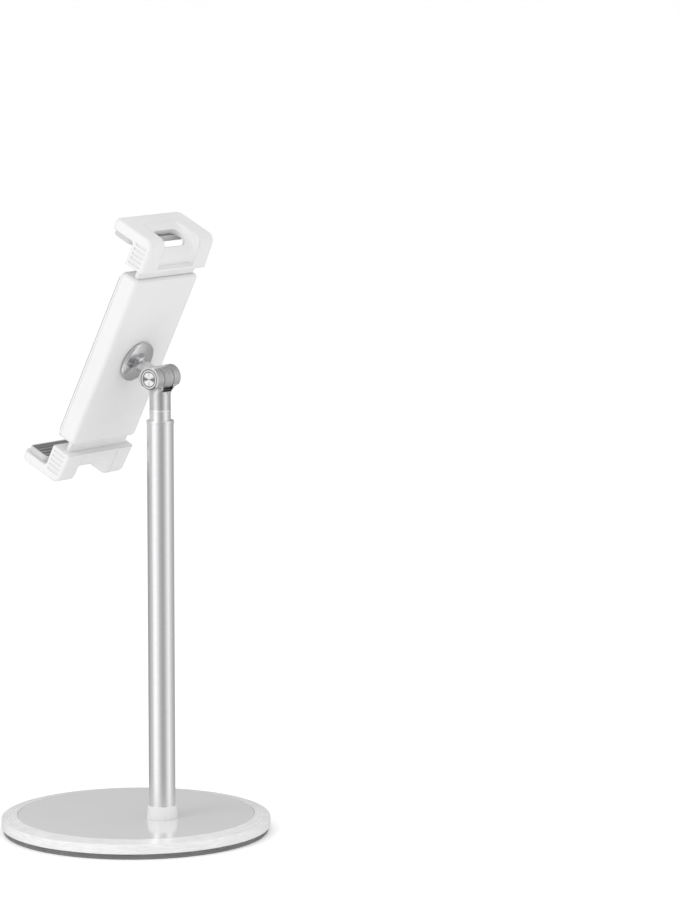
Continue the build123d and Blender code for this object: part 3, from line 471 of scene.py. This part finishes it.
def paint_nodes():
    """Give every carried-over CAD node the material of its slot, and return the materials by slot."""
    mast = (0, joints["head_tilt"]["pos_m"][1], 0)
    hinge = tuple(joints["head_tilt"]["pos_m"])
    by_slot = {
        "base_rubber": soft_rubber("base_rubber", (0.22, 0.22, 0.225), (0.17, 0.17, 0.175)),
        "zinc_steel": plated_steel("zinc_steel", (0.66, 0.67, 0.68)),
        "white_enamel": brushed_enamel("white_enamel"),
        "cast_weight": cast_iron("cast_weight"),
        "gloss_panel": gloss_panel("gloss_panel"),
        "satin_aluminium": drawn_aluminium("satin_aluminium", (0.84, 0.84, 0.85), 0.26, mast),
        "white_gloss": moulded_plastic("white_gloss", (0.86, 0.86, 0.86), (0.82, 0.82, 0.82), roughness=0.25),
        "nylon": moulded_plastic("nylon", (0.74, 0.73, 0.70), (0.68, 0.67, 0.64), roughness=0.5),
        "cast_aluminium": turned_aluminium("cast_aluminium", (0.70, 0.70, 0.71), 0.21, hinge, (0, pi / 2, 0)),
        "black_washer": soft_rubber("black_washer", (0.02, 0.02, 0.02), (0.01, 0.01, 0.01)),
        "spun_chrome": spun_chrome("spun_chrome", hinge),
        "white_shell": moulded_plastic("white_shell", (0.80, 0.80, 0.80), (0.775, 0.775, 0.775), edge=0.0008),
        "grip_silicone": soft_rubber("grip_silicone", (0.27, 0.27, 0.27), (0.22, 0.22, 0.22)),
    }
    for row in frame["record"]["subparts"]:
        node = nodes[row["node"]]
        node.data.materials.clear()
        node.data.materials.append(by_slot[row["material_slot"]])
    for side in ("left", "right"):
        nodes[f"hinge_cap_{side}"].data.materials[0] = by_slot["spun_chrome"]
    polish_bevel(nodes["base_rim"])
    return by_slot


# --- Pieces made here ---------------------------------------------------------------------------

spin_centre = Vector(joints["holder_spin"]["pos_m"])
toward_screen = Vector(joints["holder_spin"]["axis"])
upward = Vector(joints["top_jaw_slide"]["axis"])

# Axes as X, up the holder's slope and towards its screen; TURNED_FRAME is half a turn from that
HOLDER_FRAME = Matrix((Vector((1, 0, 0)), upward, toward_screen)).transposed()
TURNED_FRAME = Matrix((Vector((-1, 0, 0)), -upward, toward_screen)).transposed()
UPRIGHT_FRAME = Matrix.Identity(3)

SHARP_ANGLE = radians(40)
TUBE_ASIDE = (0.31, 0.87, 0.38)

# Jaw pads: a tray with low grip ribs
PAD_RIM = 0.0014
PAD_RECESS = 0.0009
TRAY_CORNER_R = 0.0035
RIB_PITCH = 0.0030
RIB_HALF = 0.0006
RIB_END_GAP = 0.0016
RIB_HEIGHT = 0.0008
RIB_ROOT = 0.0002

# Front pad, spread past the CAD pad so that it covers the cover screws
PAD_SPREAD = 0.0012
FRONT_BORDER = 0.0028
FRONT_CORNER_R = 0.004
FRONT_RIB_PITCH = 0.004
FRONT_RIB_HALF = 0.0008
FRONT_RIB_END_GAP = 0.003
FRONT_RIB_HEIGHT = 0.0004
FRONT_RIB_BED = 0.0005

# Rubber mat under the base, with rings as (inner, outer) radius
MAT_GROOVES = ((0.074, 0.076), (0.058, 0.060), (0.028, 0.030))
MAT_GROOVE_H = 0.0008
MAT_GROOVE_DRAFT = 0.0003
MAT_SEGMENTS = 180

# Closing springs: radius of the wire, coil, and the hook round the post at each end
SPRING_WIRE = 0.00032
SPRING_PITCH = 0.0013
SPRING_STEPS = 14
SPRING_INSET = 0.0005
POST_R = 0.0013
HOOK_TURN = 1.6 * pi

SEAM_SEGMENTS = 96


def extent(name, turn):
    """Lowest and highest corner of a CAD node along the holder's own axes, from the spin centre."""
    inverse = turn.transposed()
    places = [inverse @ (vertex.co - spin_centre) for vertex in nodes[name].data.vertices]
    low = Vector([min(place[k] for place in places) for k in range(3)])
    high = Vector([max(place[k] for place in places) for k in range(3)])
    return low, high


def rounded_loop(low, high, inset, radius, steps=8):
    """Corners of a rounded rectangle between two (a, b) points, anticlockwise."""
    radius = max(radius - inset, 0.0002)
    a0, b0 = low[0] + inset + radius, low[1] + inset + radius
    a1, b1 = high[0] - inset - radius, high[1] - inset - radius
    loop = []
    for quarter, (a, b) in enumerate(((a1, b1), (a0, b1), (a0, b0), (a1, b0))):
        for step in range(steps + 1):
            angle = (quarter + step / steps) * pi / 2
            loop.append((a + radius * cos(angle), b + radius * sin(angle)))
    return loop


def add_shell(builder, loops):
    """Closed skin through a stack of loops of equal length."""
    rows = [[builder.verts.new(point) for point in loop] for loop in loops]
    count = len(rows[0])
    for lower, upper in zip(rows, rows[1:]):
        for k in range(count):
            builder.faces.new((lower[k], lower[(k + 1) % count], upper[(k + 1) % count], upper[k]))
    builder.faces.new(list(reversed(rows[0])))
    builder.faces.new(rows[-1])


def add_tube(builder, path, radius, sides=8):
    """Round wire along a path."""
    rings = []
    reference = Vector(TUBE_ASIDE)
    for k, point in enumerate(path):
        ahead = (path[min(k + 1, len(path) - 1)] - path[max(k - 1, 0)]).normalized()
        aside = (reference - ahead * reference.dot(ahead)).normalized()
        reference = aside
        other = ahead.cross(aside)
        turns = [2 * pi * side / sides for side in range(sides)]
        rings.append([point + radius * (cos(turn) * aside + sin(turn) * other) for turn in turns])
    add_shell(builder, rings)


def make_piece(name, builder, turn, centre, material):
    """Object from a bmesh in its own frame, with smooth faces and its finish in the slot's name."""
    bmesh.ops.recalc_face_normals(builder, faces=builder.faces)
    for vertex in builder.verts:
        vertex.co = turn @ vertex.co + centre
    mesh = bpy.data.meshes.new(name)
    builder.to_mesh(mesh)
    builder.free()
    for polygon in mesh.polygons:
        polygon.use_smooth = True
    mesh.set_sharp_from_angle(angle=SHARP_ANGLE)
    piece = bpy.data.objects.new(name, mesh)
    bpy.context.scene.collection.objects.link(piece)
    mesh.materials.append(material)
    return piece


def tray_loops(low, high, radius, floor, top, outward):
    """Stack of loops of a shallow tray that opens up (outward +1) or down (-1) the third axis."""
    height = abs(top - floor)
    steps = (
        (0.0003, 0.0), (0.0, 0.0003), (0.0, height - 0.0006), (0.0002, height - 0.0002),
        (0.0005, height), (PAD_RIM - 0.0003, height), (PAD_RIM, height - 0.0003),
        (PAD_RIM + 0.0001, height - PAD_RECESS + 0.0001), (PAD_RIM + 0.0004, height - PAD_RECESS),
    )
    loops = []
    for inset, rise in steps:
        level = floor + outward * rise
        loops.append([(a, b, level) for a, b in rounded_loop(low, high, inset, radius)])
    return loops


def rib_loops(low, high, floor, outward, height):
    """Stack of loops of a low rounded bar."""
    radius = 0.45 * (high[1] - low[1])
    steps = ((0.0, 0.0), (0.0, 0.6 * height), (0.12 * radius, 0.85 * height), (0.4 * radius, height))
    return [
        [(a, b, floor + outward * rise) for a, b in rounded_loop(low, high, inset, radius, steps=4)]
        for inset, rise in steps
    ]


def make_jaw_pad(word, turn, body, material):
    """Silicone tray under a jaw's plate, with a raised lip and grip ribs, the lip painted lighter as a highlight.
    """
    node = f"{word}_jaw_pad"
    low, high = extent(node, turn)
    builder = bmesh.new()
    # the loops are laid out in X, T and L, and the tray opens towards the holder's middle
    to_own = Matrix(((1, 0, 0), (0, 0, 1), (0, 1, 0)))
    skins = [tray_loops((low.x, low.z), (high.x, high.z), TRAY_CORNER_R, high.y, low.y, -1)]
    recess = low.y + PAD_RECESS
    count = int((high.z - low.z - 2 * PAD_RIM) / RIB_PITCH)
    first = (low.z + high.z) / 2 - (count - 1) * RIB_PITCH / 2
    for number in range(count):
        middle = first + number * RIB_PITCH
        corner_low = (low.x + PAD_RIM + RIB_END_GAP, middle - RIB_HALF)
        corner_high = (high.x - PAD_RIM - RIB_END_GAP, middle + RIB_HALF)
        skins.append(rib_loops(corner_low, corner_high, recess + RIB_ROOT, -1, RIB_HEIGHT))
    for loops in skins:
        add_shell(builder, [[to_own @ Vector(point) for point in loop] for loop in loops])
    piece = make_piece(f"{word}_grip_tray", builder, turn, spin_centre, material)
    # lighter grey on the lip and outer walls is a painted highlight along the lit edge; the recess keeps the
    # darker grip silicone
    piece.data.materials.append(soft_rubber(f"{word}_tray_rim_painted_highlight", (0.62, 0.62, 0.62), (0.57, 0.57, 0.57)))
    centre = Vector(((low.x + high.x) / 2, 0, (low.z + high.z) / 2))
    inside = Vector(((high.x - low.x) / 2 - PAD_RIM, 0, (high.z - low.z) / 2 - PAD_RIM))
    # faces outside the recess take the painted highlight
    for polygon in piece.data.polygons:
        spot = turn.transposed() @ (polygon.center - spin_centre) - centre
        if abs(spot.x) > inside.x or abs(spot.z) > inside.z:
            polygon.material_index = 1
    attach(piece, body)
    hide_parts(node)


def make_front_pad(material):
    """Silicone sheet behind the tablet, with a border and long low ribs."""
    low, high = extent("holder_front_pad", HOLDER_FRAME)
    spread_out = Vector((PAD_SPREAD, PAD_SPREAD, 0))
    low, high = low - spread_out, high + spread_out
    builder = bmesh.new()
    height = high.z - low.z
    steps = (
        (0.0, 0.0), (0.0, height - 0.0004), (0.0001, height - 0.0001), (0.0004, height),
        (FRONT_BORDER, height), (FRONT_BORDER + 0.0002, height - 0.0002),
        (FRONT_BORDER + 0.0004, height - 0.0004),
    )
    loops = [
        [(a, b, low.z + rise) for a, b in rounded_loop(low, high, inset, FRONT_CORNER_R)]
        for inset, rise in steps
    ]
    add_shell(builder, loops)
    floor = high.z - FRONT_RIB_BED
    side = FRONT_BORDER + FRONT_RIB_END_GAP
    count = int((high.y - low.y - 2 * FRONT_BORDER) / FRONT_RIB_PITCH)
    for number in range(count):
        middle = (low.y + high.y) / 2 + (number - (count - 1) / 2) * FRONT_RIB_PITCH
        corner_low = (low.x + side, middle - FRONT_RIB_HALF)
        corner_high = (high.x - side, middle + FRONT_RIB_HALF)
        add_shell(builder, rib_loops(corner_low, corner_high, floor, 1, FRONT_RIB_HEIGHT))
    piece = make_piece("tablet_rest_pad", builder, HOLDER_FRAME, spin_centre, material)
    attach(piece, "holder")
    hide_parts("holder_front_pad")


def make_base_pad(material):
    """Rubber underside with a grooved edge and rings that grip the table."""
    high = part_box("base_rubber_pad")[1]
    outer = high[0]
    top = high[2]
    profile = [(outer - 0.0006, top), (outer - 0.0001, top - 0.0005), (outer, top - 0.0011)]
    profile += [(outer - 0.0004, top - 0.0015), (outer - 0.0004, top - 0.0018), (outer, top - 0.0022)]
    profile += [(outer - 0.0001, 0.0005), (outer - 0.0006, 0.0)]
    for inner, outside in MAT_GROOVES:
        profile += [(outside, 0.0), (outside - MAT_GROOVE_DRAFT, MAT_GROOVE_H)]
        profile += [(inner + MAT_GROOVE_DRAFT, MAT_GROOVE_H), (inner, 0.0)]
    builder = bmesh.new()
    turns = [2 * pi * k / MAT_SEGMENTS for k in range(MAT_SEGMENTS)]
    loops = [
        [(radius * cos(turn), radius * sin(turn), level) for turn in turns]
        for radius, level in reversed(profile)
    ]
    add_shell(builder, loops)
    piece = make_piece("base_grip_mat", builder, UPRIGHT_FRAME, Vector((0, 0, 0)), material)
    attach(piece, "base")
    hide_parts("base_rubber_pad")


def make_spring(word, turn, material):
    """Closing spring: a long coil with a loop round the post at each end."""
    node = f"{word}_jaw_spring"
    low, high = extent(node, turn)
    x = (low.x + high.x) / 2
    t = (low.z + high.z) / 2
    coil_r = (high.x - low.x) / 2 - SPRING_WIRE
    hook_r = POST_R + SPRING_WIRE
    path = []
    for step in range(SPRING_STEPS):
        angle = pi / 2 + (1 - step / SPRING_STEPS) * HOOK_TURN
        path.append(Vector((x + hook_r * cos(angle), low.y - POST_R + hook_r * sin(angle), t)))
    length = high.y - low.y - 2 * SPRING_INSET
    count = int(length / SPRING_PITCH) * SPRING_STEPS
    for step in range(count + 1):
        angle = 2 * pi * step / SPRING_STEPS
        along = low.y + SPRING_INSET + length * step / count
        path.append(Vector((x + coil_r * cos(angle), along, t + coil_r * sin(angle))))
    for step in range(1, SPRING_STEPS + 1):
        angle = -pi / 2 + step / SPRING_STEPS * HOOK_TURN
        path.append(Vector((x + hook_r * cos(angle), high.y + POST_R + hook_r * sin(angle), t)))
    builder = bmesh.new()
    add_tube(builder, path, SPRING_WIRE)
    piece = make_piece(f"{word}_closing_spring", builder, turn, spin_centre, material)
    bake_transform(piece)
    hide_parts(node)


def make_seam_ring(material):
    """Bright turned edge where the head's stem meets the inner tube."""
    low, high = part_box("mast_inner_tube")
    centre = Vector((0, (low[1] + high[1]) / 2, 0))
    outer = (high[0] - low[0]) / 2
    profile = (
        (outer - 0.0002, high[2] - 0.0006), (outer + 0.0002, high[2] - 0.0004),
        (outer + 0.0002, high[2] + 0.0003), (outer - 0.0002, high[2] + 0.0005),
    )
    turns = [2 * pi * k / SEAM_SEGMENTS for k in range(SEAM_SEGMENTS)]
    builder = bmesh.new()
    rows = [
        [builder.verts.new((radius * cos(turn), radius * sin(turn), level)) for turn in turns]
        for radius, level in profile
    ]
    for lower, upper in zip(rows, rows[1:]):
        for k in range(SEAM_SEGMENTS):
            after = (k + 1) % SEAM_SEGMENTS
            builder.faces.new((lower[k], lower[after], upper[after], upper[k]))
    piece = make_piece("stem_seam_ring", builder, UPRIGHT_FRAME, centre, material)
    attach(piece, "upper_mast")


add_camera()
set_world()
add_floor()
for softbox in SOFTBOXES:
    add_softbox(*softbox)
finishes = paint_nodes()
make_base_pad(finishes["base_rubber"])
make_front_pad(finishes["grip_silicone"])
make_seam_ring(turned_aluminium("bright_edge", (0.97, 0.97, 0.97), 0.35, (0, 0, 0), (0, 0, 0)))
for word, turn in (("top", HOLDER_FRAME), ("bottom", TURNED_FRAME)):
    make_jaw_pad(word, turn, f"jaw_{word}", finishes["grip_silicone"])
    make_spring(word, turn, finishes["zinc_steel"])
